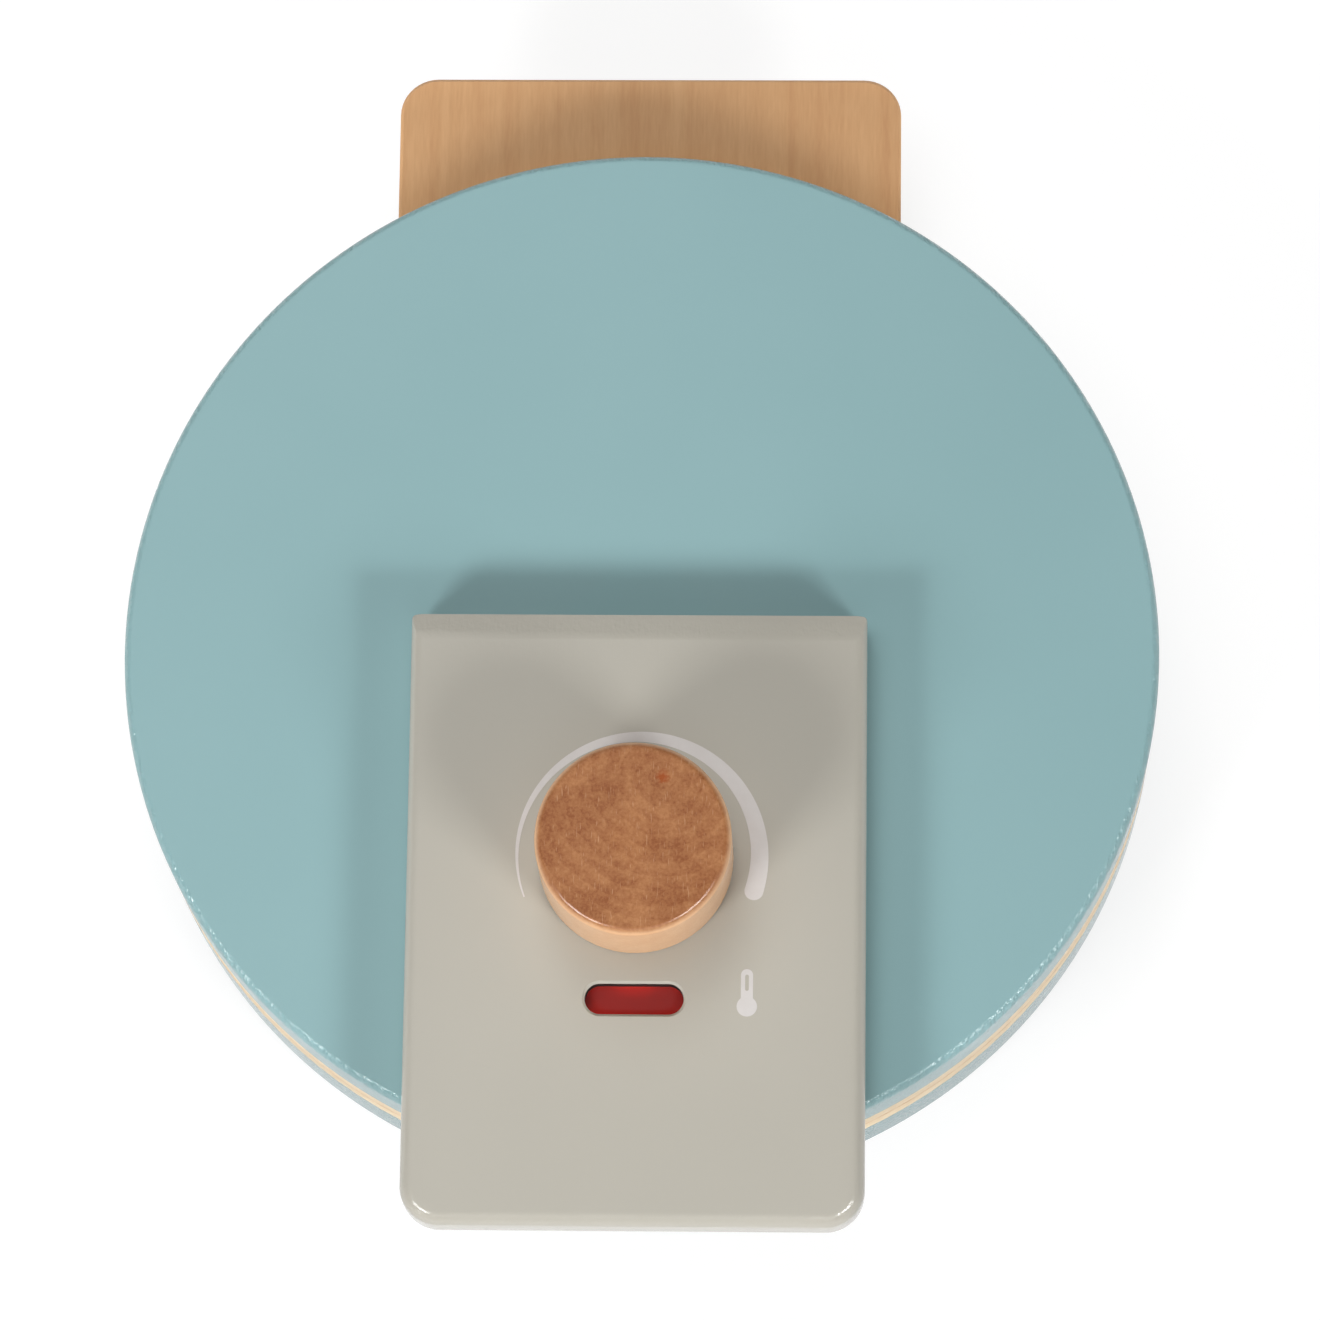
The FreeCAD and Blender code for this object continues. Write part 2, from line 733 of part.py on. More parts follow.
def ring(name, outer, inner, bottom, thickness):
    """A flat ring on the knob's axis, its bottom measured from the block's underside."""
    body = new_body(name)
    outline = new_sketch(body, f"{name}_outline")
    add_circle(outline, 0, 0, outer)
    add_circle(outline, 0, 0, inner)
    pad(body, outline, thickness, f"{name}_blank")
    place(body, 0, DISC_Y + KNOB_Y, BLOCK_Z + bottom)
    return body


def make_colour_wheel():
    bore = cell("small_shank") + 2 * cell("fit")
    return ring("colour_wheel", WHEEL_RADIUS * 2, bore, WHEEL_BOTTOM, cell("wheel_thickness"))


def make_felt_washer():
    bore = cell("dowel_diameter") + 2 * cell("fit")
    bottom = WHEEL_TOP + cell("fit")
    return ring("felt_washer", cell("felt_diameter"), bore, bottom, cell("felt_thickness"))


def make_steel_washer():
    bore = cell("small_shank") + 2 * cell("fit")
    return ring("steel_washer", cell("washer_diameter"), bore, WASHER_BOTTOM, cell("washer_thickness"))


def group(name, copies):
    """Identical pieces kept together as one node."""
    node = doc.addObject("Part::Compound", name)
    node.Label = name
    node.Links = copies
    doc.recompute()
    return node


def faceted_bar(body, name, radius, bottom, length):
    """A small round bar on the body's Z axis, drawn with few faces."""
    sketch = new_sketch(body, f"{name}_outline", height=bottom)
    step = 360 / cell("screw_facets")
    corners = []
    for number in range(int(cell("screw_facets").number)):
        angle = step * (number + 0.5)
        corners.append((radius * cosine(angle), radius * sine(angle)))
    add_polygon(sketch, corners)
    pad(body, sketch, length, name)


def countersunk_screw(name, size_name, length):
    """Flat head at z = 0 that narrows at 45 degrees to the shank below it."""
    body = new_body(name)
    head = cell(f"{size_name}_head") / 2 - cell("fit")
    shank = cell(f"{size_name}_shank") / 2
    head_height = head - shank
    faceted_bar(body, f"{name}_head", head, -head_height, head_height)
    narrowing = head_height * cosine(180 / cell("screw_facets"))
    chamfer_edges(body, narrowing, f"{name}_cone", lambda edge: at_height(edge, -head_height))
    faceted_bar(body, f"{name}_shank", shank, -length, length - head_height)
    return body


def screw_group(name, size_name, length, places, z, rotation=None):
    copies = []
    for number, (x, y) in enumerate(places, start=1):
        copy = countersunk_screw(f"{name}_{number}", size_name, length)
        place(copy, x, y + DISC_Y, z, rotation)
        copies.append(copy)
    return group(name, copies)


def make_hinge_screws():
    length = cell("hinge_screw_length")
    places = hinge_screw_places()
    base = screw_group("base_hinge_screws", "small", length, places, PARTING_Z)
    lid = screw_group("lid_hinge_screws", "small", length, places, LID_PLATE_Z, TURNED_OVER)
    return [base, lid]


def make_block_screws():
    length = cell("block_screw_length")
    return screw_group("block_screws", "large", length, block_screw_places(), LID_DISC_Z, TURNED_OVER)


def make_wheel_screw():
    """A pan-head screw: head under the washer, shank up into the dowel."""
    body = new_body("wheel_screw")
    head_height = cell("wheel_screw_head_height")
    faceted_bar(body, "pan_head", cell("small_head") / 2, -head_height, head_height)
    faceted_bar(body, "pan_head_shank", cell("small_shank") / 2, 0, cell("wheel_screw_length"))
    place(body, 0, DISC_Y + KNOB_Y, BLOCK_Z + WASHER_BOTTOM)
    return body


def prism_group(name, places, facets, radius, z, length):
    """Identical upright bars with flat sides."""
    copies = []
    for number, (x, y) in enumerate(places, start=1):
        copy = doc.addObject("Part::Prism", f"{name}_{number}")
        bind(copy, "Polygon", facets)
        bind(copy, "Circumradius", radius)
        bind(copy, "Height", length)
        place(copy, x, y + DISC_Y, z)
        copies.append(copy)
    return group(name, copies)


def make_rubber_feet():
    """Round pads, glued under the base."""
    facets = cell("foot_facets")
    radius = cell("foot_diameter") / 2
    return prism_group("rubber_feet", foot_places(), facets, radius, 0, cell("foot_height"))


def make_block_dowels():
    """Fluted dowels, glued into the lid and the block."""
    flutes = cell("block_dowel_flutes")
    radius = cell("block_dowel_diameter") / 2
    bottom = BLOCK_Z - cell("block_dowel_in_lid")
    length = cell("block_dowel_in_lid") + cell("block_dowel_in_block")
    return prism_group("block_dowels", block_dowel_places(), flutes, radius, bottom, length)


def hinge_leaf(name, first_knuckle):
    """A stamped leaf with every second knuckle, lying below the pin's axis."""
    body = new_body(name)
    half_width = cell("hinge_width") / 2
    radius = cell("knuckle_diameter") / 2
    leaf_top = -HALF_GAP
    knuckle_pitch = cell("hinge_width") / cell("knuckle_count")
    knuckle_length = knuckle_pitch - cell("knuckle_gap")
    leaf_bottom = leaf_top - cell("leaf_thickness")
    plate = new_sketch(body, "leaf_outline", height=leaf_bottom)
    leaf_rear = -(radius + cell("seat_clearance") / 2)
    add_rectangle(plate, -half_width, half_width, -cell("leaf_reach"), leaf_rear)
    pad(body, plate, cell("leaf_thickness"), "leaf")
    count = int(cell("knuckle_count").number)
    for number in range(first_knuckle, count, 2):
        start = -half_width + knuckle_pitch * number + cell("knuckle_gap") / 2
        tongue = new_sketch(body, f"tongue_{number}_outline", plane="YZ_Plane", height=start)
        add_rectangle(tongue, leaf_rear - cell("leaf_thickness"), 0, leaf_bottom, leaf_top)
        pad(body, tongue, knuckle_length, f"tongue_{number}")
        barrel = new_sketch(body, f"knuckle_{number}_outline", plane="YZ_Plane", height=start)
        add_circle(barrel, 0, 0, cell("knuckle_diameter"))
        pad(body, barrel, knuckle_length, f"knuckle_{number}")
    bore = new_sketch(body, "pin_bore_outline", plane="YZ_Plane", height=half_width)
    add_circle(bore, 0, 0, cell("pin_diameter") + 2 * cell("fit"))
    pocket(body, bore, cell("hinge_width"), "pin_bore")
    screw_row = [(x, y - HINGE_Y) for x, y in hinge_screw_places()]
    drill_countersunk(body, screw_row, "small", leaf_top, cell("leaf_thickness"), "screw_holes")
    return body


def make_hinge():
    base = hinge_leaf("hinge_base_leaf", 0)
    place(base, 0, DISC_Y + HINGE_Y, HINGE_Z)
    lid = hinge_leaf("hinge_lid_leaf", 1)
    place(lid, 0, DISC_Y + HINGE_Y, HINGE_Z, TURNED_OVER)
    pin = new_body("hinge_pin")
    length = cell("hinge_width") - cell("knuckle_gap") * 2
    section = new_sketch(pin, "pin_outline", plane="YZ_Plane", height=-length / 2)
    add_circle(section, 0, 0, cell("pin_diameter"))
    pad(pin, section, length, "pin_rod")
    place(pin, 0, DISC_Y + HINGE_Y, HINGE_Z)
    return [base, lid, pin]


pieces = [
    make_base_disc(),
    make_base_plate(),
    make_rubber_feet(),
    make_lid_plate(),
    make_lid_disc(),
    make_control_block(),
    make_block_dowels(),
    make_block_screws(),
    make_knob(),
    make_knob_dowel(),
    make_felt_washer(),
    make_colour_wheel(),
    make_steel_washer(),
    make_wheel_screw(),
]
pieces += make_hinge()
pieces += make_hinge_screws()
doc.recompute()

for thing in doc.Objects:
    if "Invalid" in thing.State or "Error" in thing.State:
        raise RuntimeError(f"{thing.Label} failed to rebuild")
for piece in pieces:
    if piece.Shape.isNull() or not piece.Shape.isValid():
        raise RuntimeError(f"{piece.Label} has no valid shape")
for piece in pieces:
    piece.Shape.exportStep(f"parts/{piece.Label}.step")
    print(piece.Label, round(piece.Shape.Volume, 1), len(piece.Shape.Solids))
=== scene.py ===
import math

import bmesh
import bpy
from mathutils import Matrix, Vector


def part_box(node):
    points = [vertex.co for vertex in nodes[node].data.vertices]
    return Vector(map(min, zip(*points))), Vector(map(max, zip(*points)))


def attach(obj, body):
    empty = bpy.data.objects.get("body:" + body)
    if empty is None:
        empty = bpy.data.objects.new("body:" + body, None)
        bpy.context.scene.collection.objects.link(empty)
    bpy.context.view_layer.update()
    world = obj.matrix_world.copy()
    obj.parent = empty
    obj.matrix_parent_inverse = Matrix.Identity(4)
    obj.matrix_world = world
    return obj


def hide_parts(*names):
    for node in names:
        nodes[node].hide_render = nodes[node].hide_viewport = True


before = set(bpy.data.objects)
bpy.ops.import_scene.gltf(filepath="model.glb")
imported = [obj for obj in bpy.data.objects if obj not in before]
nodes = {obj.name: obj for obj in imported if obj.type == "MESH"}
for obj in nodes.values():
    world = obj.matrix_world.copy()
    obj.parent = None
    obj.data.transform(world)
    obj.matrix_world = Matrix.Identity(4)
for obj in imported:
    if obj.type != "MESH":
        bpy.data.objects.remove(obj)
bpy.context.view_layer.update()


# Base disc
# The lower half of the toy: a round board of beech with its lower rim rounded over,
# sprayed with the lid's satin dusty blue-green waterborne paint and glued under the base plate.
# Its colour is set darker than the lid's: painted shade.

def mm(value):
    return value / 1000


def pattern(size):
    """The texture scale at which a pattern's features are this many millimetres across."""
    return 1000 / size


def linear(colour):
    """An sRGB hex colour as linear values."""
    channels = [int(colour[place:place + 2], 16) / 255 for place in (1, 3, 5)]
    return [c / 12.92 if c <= 0.04045 else ((c + 0.055) / 1.055) ** 2.4
            for c in channels] + [1.0]


def add(tree, kind, inputs=None, stops=None, **settings):
    """One shader node: its properties, its colour stops, and its inputs as values or as
    sockets to link."""
    made = tree.nodes.new(kind)
    for name, value in settings.items():
        setattr(made, name, value)
    for place, colour in stops or []:
        elements = made.color_ramp.elements
        spare = [stop for stop in elements
                 if stop.position in (0.0, 1.0) and stop.position == place]
        stop = spare[0] if spare else elements.new(place)
        stop.color = colour
    for name, value in (inputs or {}).items():
        if isinstance(value, bpy.types.NodeSocket):
            tree.links.new(value, made.inputs[name])
        else:
            made.inputs[name].default_value = value
    return made


def empty_material(name):
    material = bpy.data.materials.new(name)
    material.use_nodes = True
    material.node_tree.nodes.clear()
    return material, material.node_tree


def sprayed_paint(name, colour, light_colour, veil, swelling):
    """Satin waterborne paint on sanded beech: even colour that wanders a little over
    a few centimetres, under the matting agent's pale veil. The faces are smooth; on the
    turned edges the wood's grain has swollen, and the paint has flowed out glossier."""
    on_face, on_edge = 0.995, 0.95  # the normal's height on a face and where an edge begins
    face_relief = mm(0.0075)
    material, tree = empty_material(name)
    coordinates = add(tree, "ShaderNodeTexCoord")
    place = coordinates.outputs["Object"]
    coats = add(tree, "ShaderNodeTexNoise", {"Vector": place, "Scale": pattern(45), "Detail": 2.0})
    tint = add(tree, "ShaderNodeMix", {
        0: coats.outputs[0], 6: linear(colour), 7: linear(light_colour)}, data_type="RGBA")
    along = add(tree, "ShaderNodeMapping", {
        "Vector": place, "Scale": (pattern(0.5), pattern(6), pattern(0.5))})
    pores = add(tree, "ShaderNodeTexNoise", {
        "Vector": along.outputs[0], "Scale": 1.0, "Detail": 3.0})
    peel = add(tree, "ShaderNodeTexNoise", {"Vector": place, "Scale": pattern(0.8), "Detail": 1.0})
    relief = add(tree, "ShaderNodeMath", {0: pores.outputs[0], 1: peel.outputs[0]},
                 operation="ADD")
    up = add(tree, "ShaderNodeSeparateXYZ", {0: coordinates.outputs["Normal"]}).outputs["Z"]
    turned = add(tree, "ShaderNodeMapRange", {
        0: up, 1: on_face, 2: on_edge, 3: face_relief / swelling, 4: 1.0})
    shine = add(tree, "ShaderNodeMapRange", {0: up, 1: on_face, 2: on_edge, 3: 0.25, 4: 0.12})
    bump = add(tree, "ShaderNodeBump", {
        "Height": relief.outputs[0], "Distance": swelling, "Strength": turned.outputs[0]})
    surface = add(tree, "ShaderNodeBsdfPrincipled", {
        "Base Color": tint.outputs[2], "Roughness": shine.outputs[0], "IOR": 1.48,
        "Sheen Weight": veil, "Sheen Roughness": 0.5, "Normal": bump.outputs[0]})
    add(tree, "ShaderNodeOutputMaterial", {"Surface": surface.outputs[0]})
    return material


tolerance = 1e-6
rounding_steps = 8
sharp_angle = math.radians(35)


def lies_at(edge, axis, value):
    """Whether both ends of an edge have this coordinate."""
    return all(abs(end.co[axis] - value) < tolerance for end in edge.verts)


def bevel(shape, edges, offset, segments):
    bmesh.ops.bevel(shape, geom=edges, offset=offset, affect="EDGES", segments=segments,
                    profile=0.5, material=-1)


def raise_outline(shape, height):
    """Draws a flat outline up into a solid and returns its upper corners."""
    drawn = bmesh.ops.extrude_face_region(shape, geom=shape.faces[:])["geom"]
    upper = [corner for corner in drawn if isinstance(corner, bmesh.types.BMVert)]
    bmesh.ops.translate(shape, verts=upper, vec=(0, 0, height))
    return upper


def round_board(centre, radius, bottom, top, rim, rounding, segments=256):
    """A round board with the rim at one height rounded over."""
    board = bmesh.new()
    bmesh.ops.create_circle(board, cap_ends=True, segments=segments, radius=radius)
    bmesh.ops.translate(board, verts=board.verts, vec=(centre.x, centre.y, bottom))
    raise_outline(board, top - bottom)
    rim_edges = [edge for edge in board.edges if lies_at(edge, 2, rim)]
    bevel(board, rim_edges, rounding, rounding_steps)
    bmesh.ops.recalc_face_normals(board, faces=board.faces)
    for face in board.faces:
        face.smooth = len(face.verts) == 4
    return board


def piece(name, shape, material, body, replaced=()):
    """Turns a finished shape into a piece that rides on a body of the toy."""
    mesh = bpy.data.meshes.new(name)
    shape.to_mesh(mesh)
    shape.free()
    mesh.materials.append(material)
    mesh.set_sharp_from_angle(angle=sharp_angle)
    made = bpy.data.objects.new(name, mesh)
    bpy.context.scene.collection.objects.link(made)
    if replaced:
        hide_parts(*replaced)
    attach(made, body)
    return made


# A darker copy of the lid's paint: painted shade on the base disc.
base_paint_with_painted_shade = sprayed_paint("dusty_blue_green_paint_with_painted_shade_on_base", "#5D8689", "#658D90",
                           veil=0.0, swelling=mm(0.14))
disc_radius = mm(80)
disc_rounding = mm(1.3)
low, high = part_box("base_disc")
disc_centre = (low + high) / 2
base_disc = round_board(disc_centre, disc_radius, low.z, high.z, low.z, disc_rounding)
piece("base_disc_turned", base_disc, base_paint_with_painted_shade, "base", ["base_disc"])


# Waffle plates
# Two plates of clear lacquered birch, milled with five hearts and a lattice of ribs.
# The lower one runs out behind the discs as a tab, its grain running front to back.

def clear_lacquered_wood(name, light, dark, light_painted_highlight, dark_painted_highlight, along):
    """Straight-grained wood under a thin matt lacquer: pale wood with darker growth
    streaks a millimetre or two wide and many centimetres long, and fine short flecks.
    The upright edges are painted paler than the faces: a painted highlight."""
    material, tree = empty_material(name)
    place = add(tree, "ShaderNodeTexCoord").outputs["Object"]
    streak = [pattern(2.6)] * 3
    streak[along] = pattern(90)
    fleck = [pattern(0.35)] * 3
    fleck[along] = pattern(3.5)
    streaks = add(tree, "ShaderNodeTexNoise", {
        "Vector": add(tree, "ShaderNodeMapping", {"Vector": place, "Scale": streak}).outputs[0],
        "Scale": 1.0, "Detail": 4.0, "Roughness": 0.6, "Distortion": 0.3})
    flecks = add(tree, "ShaderNodeTexNoise", {
        "Vector": add(tree, "ShaderNodeMapping", {"Vector": place, "Scale": fleck}).outputs[0],
        "Scale": 1.0, "Detail": 2.0})
    both = add(tree, "ShaderNodeMix", {0: 0.3, 2: streaks.outputs[0], 3: flecks.outputs[0]})
    face_tint, painted_highlight_tint = [add(tree, "ShaderNodeValToRGB", {0: both.outputs[0]}, stops=[
        (0.0, linear(deep)), (0.35, linear(deep)), (0.62, linear(pale)), (1.0, linear(pale))])
        for deep, pale in ((dark, light), (dark_painted_highlight, light_painted_highlight))]
    normal = add(tree, "ShaderNodeTexCoord").outputs["Normal"]
    up = add(tree, "ShaderNodeSeparateXYZ", {0: normal}).outputs["Z"]
    # Upright faces take the paler tint: a painted highlight on the edges that face the lamps.
    painted_highlight_mask = add(tree, "ShaderNodeMapRange", {
        0: add(tree, "ShaderNodeMath", {0: up}, operation="ABSOLUTE").outputs[0], 1: 0.3, 2: 0.1})
    tint = add(tree, "ShaderNodeMix", {
        0: painted_highlight_mask.outputs[0], 6: face_tint.outputs[0], 7: painted_highlight_tint.outputs[0]}, data_type="RGBA")
    bump = add(tree, "ShaderNodeBump", {
        "Height": flecks.outputs[0], "Distance": mm(0.02), "Strength": 0.4})
    surface = add(tree, "ShaderNodeBsdfPrincipled", {
        "Base Color": tint.outputs[2], "Roughness": 0.5, "IOR": 1.48, "Normal": bump.outputs[0]})
    add(tree, "ShaderNodeOutputMaterial", {"Surface": surface.outputs[0]})
    return material


def finish_node(name, material):
    """Gives a piece that keeps its own shape its finish."""
    nodes[name].data.materials.clear()
    nodes[name].data.materials.append(material)


# The last two colours are the edges' painted highlight.
birch = clear_lacquered_wood("clear_lacquered_birch", "#DCAC7B", "#D09C6C",
                             "#ECD6B4", "#E2C8A2", along=1)
finish_node("base_plate", birch)
finish_node("lid_plate", birch)


# Rubber feet
# Four round pads of moulded black rubber, glued under the base disc so that the toy
# stands still on a worktop. Their lower edge is rounded by the mould.

def moulded_rubber():
    """Matt black rubber with the fine grain of a sandblasted mould."""
    material, tree = empty_material("moulded_black_rubber")
    place = add(tree, "ShaderNodeTexCoord").outputs["Object"]
    grain = add(tree, "ShaderNodeTexNoise", {"Vector": place, "Scale": pattern(0.4), "Detail": 2.0})
    tint = add(tree, "ShaderNodeValToRGB", {0: grain.outputs[0]},
               stops=[(0.0, linear("#1B1B1C")), (1.0, linear("#2A2A2A"))])
    bump = add(tree, "ShaderNodeBump", {
        "Height": grain.outputs[0], "Distance": mm(0.03), "Strength": 0.5})
    surface = add(tree, "ShaderNodeBsdfPrincipled", {
        "Base Color": tint.outputs[0], "Roughness": 0.75, "IOR": 1.52, "Normal": bump.outputs[0]})
    add(tree, "ShaderNodeOutputMaterial", {"Surface": surface.outputs[0]})
    return material


low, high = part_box("rubber_feet")
foot_radius = mm(7)
foot_rounding = mm(0.7)
feet = bmesh.new()
for x in (low.x + foot_radius, high.x - foot_radius):
    for y in (low.y + foot_radius, high.y - foot_radius):
        foot = round_board(Vector((x, y, 0)), foot_radius, low.z, high.z, low.z, foot_rounding,
                           segments=64)
        mesh = bpy.data.meshes.new("foot")
        foot.to_mesh(mesh)
        foot.free()
        feet.from_mesh(mesh)
        bpy.data.meshes.remove(mesh)
piece("rubber_feet_moulded", feet, moulded_rubber(), "base", ["rubber_feet"])


# Lid disc
# The upper half: a thinner painted beech board, rounded over at its upper rim,
# glued on the lid plate.

low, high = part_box("lid_disc")
lid_paint = sprayed_paint("dusty_blue_green_paint_on_lid", "#86AAAD", "#8DB0B3",
                          veil=0.3, swelling=mm(0.22))
lid_disc = round_board(disc_centre, disc_radius, low.z, high.z, high.z, disc_rounding)
piece("lid_disc_turned", lid_disc, lid_paint, "lid", ["lid_disc"])


# Control block
# Handle and control panel in one: a beech block, milled hollow underneath for the colour
# wheel, with a slot for a window and a bore for the knob's dowel, sprayed warm grey.

warm_grey_paint = sprayed_paint("warm_grey_paint_on_beech", "#B2AEA3", "#B8B4A9",
                                veil=0.15, swelling=mm(0.05))
low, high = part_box("control_block")
knob_low, knob_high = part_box("knob")
knob_axis = (knob_low + knob_high) / 2
front_corner_radius = mm(6)
rear_corner_radius = mm(0.8)
edge_rounding = mm(2)
slope_run = mm(4.3)
slope_drop = mm(1.4)
block = bmesh.new()
corners = [block.verts.new(corner) for corner in (
    (low.x, low.y, low.z), (high.x, low.y, low.z), (high.x, high.y, low.z), (low.x, high.y, low.z))]
block.faces.new(corners)
raise_outline(block, high.z - low.z)
bmesh.ops.recalc_face_normals(block, faces=block.faces)
for y, corner_radius, segments in (
        (low.y, front_corner_radius, 20), (high.y, rear_corner_radius, 6)):
    upright_edges = [edge for edge in block.edges
                     if lies_at(edge, 1, y) and lies_at(edge, 0, edge.verts[0].co.x)]
    bevel(block, upright_edges, corner_radius, segments)
outline_edges = [edge for edge in block.edges
                 if lies_at(edge, 2, edge.verts[0].co.z) and not lies_at(edge, 1, high.y)]
bevel(block, outline_edges, edge_rounding, rounding_steps)
cut = bmesh.ops.bisect_plane(
    block, geom=block.verts[:] + block.edges[:] + block.faces[:],
    plane_co=(0, high.y - slope_run, high.z),
    plane_no=Vector((0, slope_drop, slope_run)).normalized(), clear_outer=True)["geom_cut"]
bmesh.ops.contextual_create(
    block, geom=[edge for edge in cut if isinstance(edge, bmesh.types.BMEdge)])
bmesh.ops.recalc_face_normals(block, faces=block.faces)
for face in block.faces:
    face.smooth = True


def carve(made, cutter, finish=None):
    """Cuts one shape out of a piece, whose new walls take the finish, and throws the
    cutter away."""
    mesh = bpy.data.meshes.new("cutter")
    cutter.to_mesh(mesh)
    cutter.free()
    mesh.materials.append(finish or made.data.materials[0])
    tool = bpy.data.objects.new("cutter", mesh)
    bpy.context.scene.collection.objects.link(tool)
    step = made.modifiers.new("carve", "BOOLEAN")
    step.operation = "DIFFERENCE"
    step.solver = "EXACT"
    step.material_mode = "TRANSFER"
    step.object = tool
    graph = bpy.context.evaluated_depsgraph_get()
    carved = bpy.data.meshes.new_from_object(made.evaluated_get(graph))
    made.modifiers.clear()
    spare = made.data
    made.data = carved
    carved.name = spare.name
    bpy.data.meshes.remove(spare)
    bpy.data.objects.remove(tool)
    bpy.data.meshes.remove(mesh)


def upright_bore(centre, radius, bottom, top, segments):
    bore = bmesh.new()
    bmesh.ops.create_circle(bore, cap_ends=True, segments=segments, radius=radius)
    bmesh.ops.translate(bore, verts=bore.verts, vec=(centre[0], centre[1], bottom))
    raise_outline(bore, top - bottom)
    bmesh.ops.recalc_face_normals(bore, faces=bore.faces)
    return bore


def long_hole(centre_y, length, width, bottom, top, flare=0.0):
    """A cutter with round ends, lying across the panel, that may widen towards its top."""
    hole = bmesh.new()
    bmesh.ops.create_circle(hole, cap_ends=True, segments=64, radius=width / 2)
    upper = raise_outline(hole, top - bottom)
    bmesh.ops.scale(hole, verts=upper, vec=(1 + 2 * flare / width, 1 + 2 * flare / width, 1))
    for corner in hole.verts:
        corner.co.x += math.copysign((length - width) / 2, corner.co.x)
    bmesh.ops.translate(hole, verts=hole.verts, vec=(0, centre_y, bottom))
    bmesh.ops.recalc_face_normals(hole, faces=hole.faces)
    return hole


def painted_slot_shade():
    """Near-black colour on the routed wall of the window: painted shade, so that only the wheel
    shows.
    """
    material, tree = empty_material("painted_shade_in_window")
    place = add(tree, "ShaderNodeTexCoord").outputs["Object"]
    shade_variation = add(tree, "ShaderNodeTexNoise", {
        "Vector": place, "Scale": pattern(1.2), "Detail": 2.0})
    tint = add(tree, "ShaderNodeValToRGB", {0: shade_variation.outputs[0]},
               stops=[(0.0, linear("#1A1210")), (1.0, linear("#2B201C"))])
    surface = add(tree, "ShaderNodeBsdfPrincipled", {
        "Base Color": tint.outputs[0], "Roughness": 0.8})
    add(tree, "ShaderNodeOutputMaterial", {"Surface": surface.outputs[0]})
    return material


panel_thickness = mm(2.5)
housing_clearance = mm(1)
dowel_bore_radius = mm(4.05)
window_y = knob_axis.y - mm(21.8)
window_length, window_width = mm(15), mm(4.7)
window_easing = mm(0.4)
past = mm(1)  # how far a cutter runs out past the face that it breaks through
panel_bottom = high.z - panel_thickness
wheel_low, wheel_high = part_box("colour_wheel")
housing_radius = (wheel_high.x - wheel_low.x) / 2 + housing_clearance
control_block = piece("control_block_milled", block, warm_grey_paint, "lid", ["control_block"])
carve(control_block, upright_bore(knob_axis, housing_radius, low.z - past, panel_bottom, 160))
carve(control_block,
      upright_bore(knob_axis, dowel_bore_radius, panel_bottom - past, high.z + past, 64))
# The window's walls take a near-black colour: painted shade.
slot_shade = painted_slot_shade()
carve(control_block,
      long_hole(window_y, window_length, window_width, panel_bottom - past, high.z + past), slot_shade)
carve(control_block,
      long_hole(window_y, window_length, window_width, high.z - window_easing,
                high.z + window_easing, 2 * window_easing))


# Printed marks
# Pad-printed in pale grey on the panel: a scale that swells from a hairline on the left
# to a round end on the right, and a small thermometer to the right of the window.

def printing_ink():
    """Ink a few hundredths of a millimetre thick, matt, a little uneven in cover."""
    material, tree = empty_material("pale_grey_printing_ink")
    place = add(tree, "ShaderNodeTexCoord").outputs["Object"]
    cover = add(tree, "ShaderNodeTexNoise", {"Vector": place, "Scale": pattern(1.5), "Detail": 3.0})
    tint = add(tree, "ShaderNodeValToRGB", {0: cover.outputs[0]},
               stops=[(0.0, linear("#CBC7C4")), (1.0, linear("#D3D0CE"))])
    bump = add(tree, "ShaderNodeBump", {
        "Height": cover.outputs[0], "Distance": mm(0.01), "Strength": 0.3})
    surface = add(tree, "ShaderNodeBsdfPrincipled", {
        "Base Color": tint.outputs[0], "Roughness": 0.5, "IOR": 1.5, "Normal": bump.outputs[0]})
    add(tree, "ShaderNodeOutputMaterial", {"Surface": surface.outputs[0]})
    return material


ink = printing_ink()
ink_lift = mm(0.01)
ink_thickness = mm(0.03)
ink_bottom = high.z + ink_lift


def printed(name, shape):
    """Gives a flat outline the thickness of the ink."""
    bmesh.ops.translate(shape, verts=shape.verts, vec=(0, 0, ink_bottom))
    raise_outline(shape, ink_thickness)
    bmesh.ops.recalc_face_normals(shape, faces=shape.faces)
    return piece(name, shape, ink, "lid")


def around(centre, radius, angle):
    """The point at an angle on a circle in the panel's plane."""
    return centre + Vector((math.cos(angle), math.sin(angle), 0)) * radius


scale_centre = Vector((mm(0.35), knob_axis.y + mm(0.4), 0))
scale_radius = mm(18.45)
scale_from, scale_to = math.radians(201.0), math.radians(-17.2)
thin_end, thick_end = mm(0.22), mm(2.9)
steps, end_steps = 120, 24
scale = bmesh.new()
pairs = []
for step in range(steps + 1):
    share = step / steps
    angle = scale_from + (scale_to - scale_from) * share
    half = (thin_end + (thick_end - thin_end) * share) / 2
    pairs.append([scale.verts.new(around(scale_centre, scale_radius + side * half, angle))
                  for side in (1, -1)])
for first, second in zip(pairs, pairs[1:]):
    scale.faces.new((first[0], second[0], second[1], first[1]))
end_centre = around(scale_centre, scale_radius, scale_to)
cap = [scale.verts.new(around(end_centre, thick_end / 2, scale_to - math.pi * step / end_steps))
       for step in range(1, end_steps)]
scale.faces.new([pairs[-1][1], pairs[-1][0]] + cap)
printed("printed_scale", scale)

